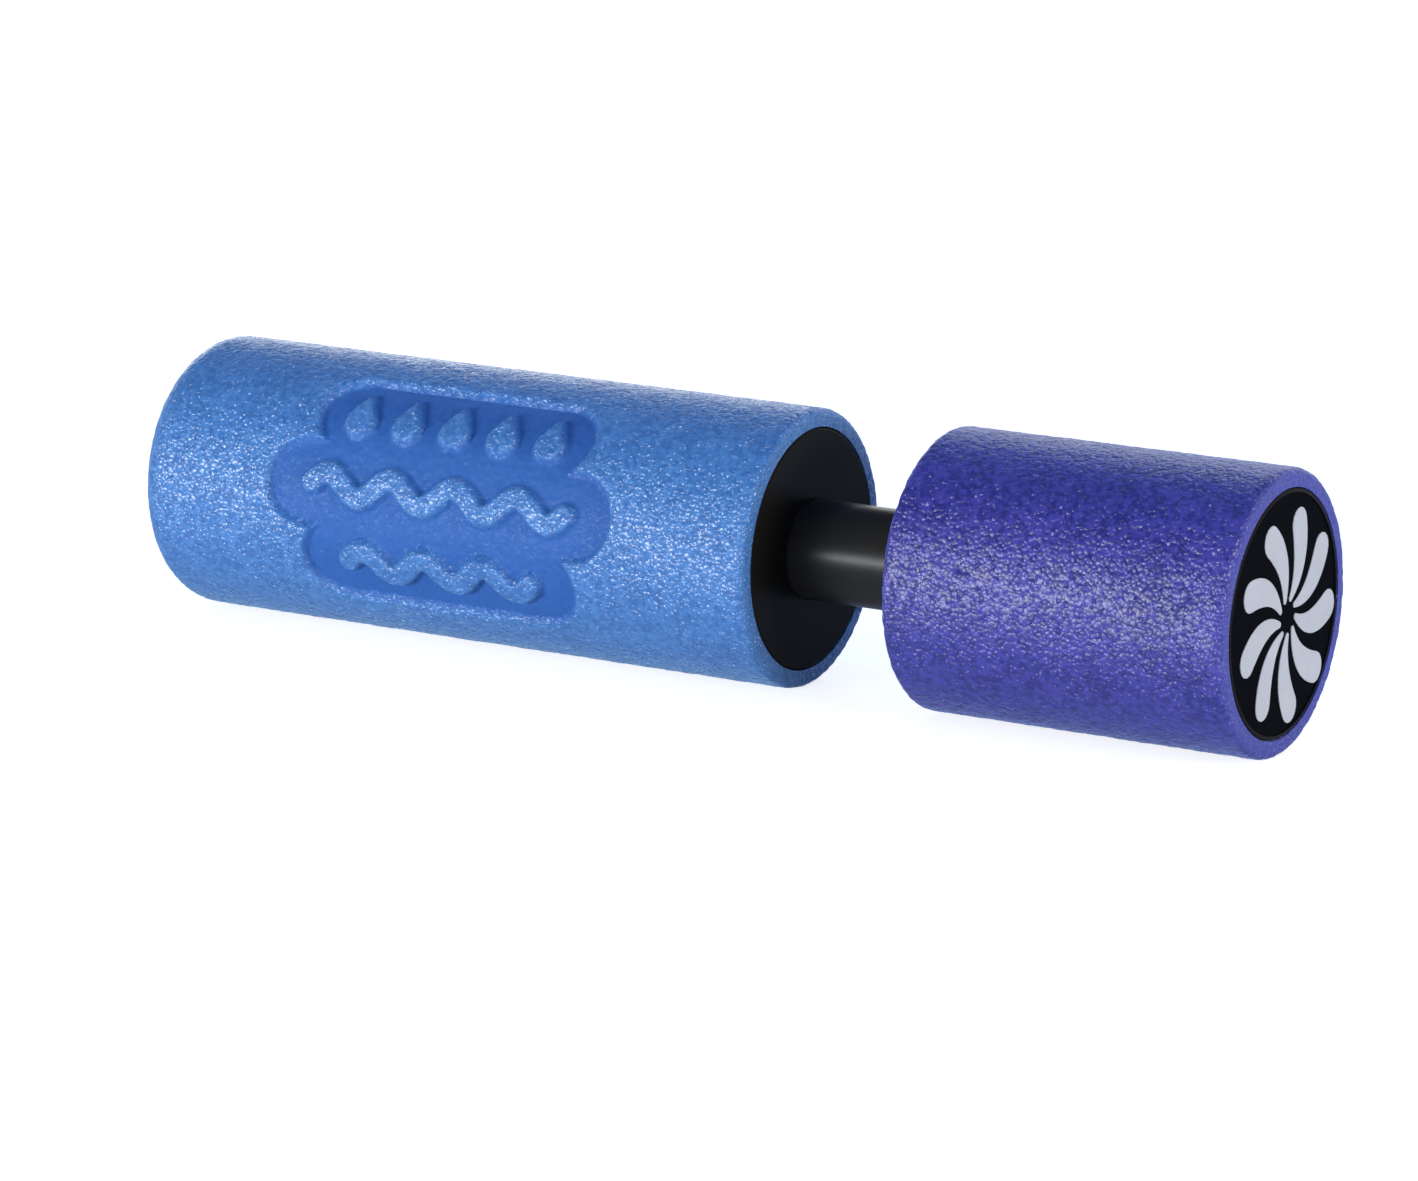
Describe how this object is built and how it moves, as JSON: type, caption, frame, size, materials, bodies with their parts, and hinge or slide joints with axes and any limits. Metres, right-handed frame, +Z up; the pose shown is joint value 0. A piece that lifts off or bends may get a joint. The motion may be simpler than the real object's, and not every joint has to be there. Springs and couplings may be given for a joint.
{
  "type": "water squirter",
  "caption": "Hand pump water squirter: a foam-sleeved barrel with a spout and a foam-covered plunger handle that is pulled to draw water in and pushed to squirt it out.",
  "frame": {"origin": "centre of the spout's mouth, on the pump's axis", "axes": "+X along the pump's axis from the spout to the handle, +Z up with the pump lying on its side, the pressed panel of the barrel faces -Y"},
  "size_m": [0.1794, 0.04, 0.04],
  "materials": {
    "blue_foam": "matte",
    "purple_foam": "matte",
    "black_plastic": "gloss",
    "rod_plastic": "satin",
    "tube_plastic": "satin",
    "seal_rubber": "matte",
    "label_black": "satin",
    "label_grey": "satin"
  },
  "bodies": {
    "barrel": {"barrel_foam": "blue_foam", "barrel_tube": "tube_plastic", "nozzle_cap": "black_plastic", "rear_cap": "black_plastic"},
    "piston_seals": {"piston_o_ring_front": "seal_rubber", "piston_o_ring_rear": "seal_rubber"},
    "plunger": {"piston": "black_plastic", "plunger_rod": "rod_plastic", "handle_front_cap": "black_plastic", "handle_tube": "tube_plastic", "handle_foam": "purple_foam", "handle_end_cap": "black_plastic", "end_cap_label": "label_black", "pinwheel_blades": "label_grey"}
  },
  "joints": [
    {"name": "plunger_slide", "type": "slide", "parent": "barrel", "child": "piston_seals", "axis": [1, 0, 0], "range_m": [-0.0215, 0.0444]},
    {"name": "plunger_spin", "type": "hinge", "parent": "piston_seals", "child": "plunger", "pos_m": [0.1, 0, 0], "axis": [1, 0, 0], "continuous": true}
  ]
}
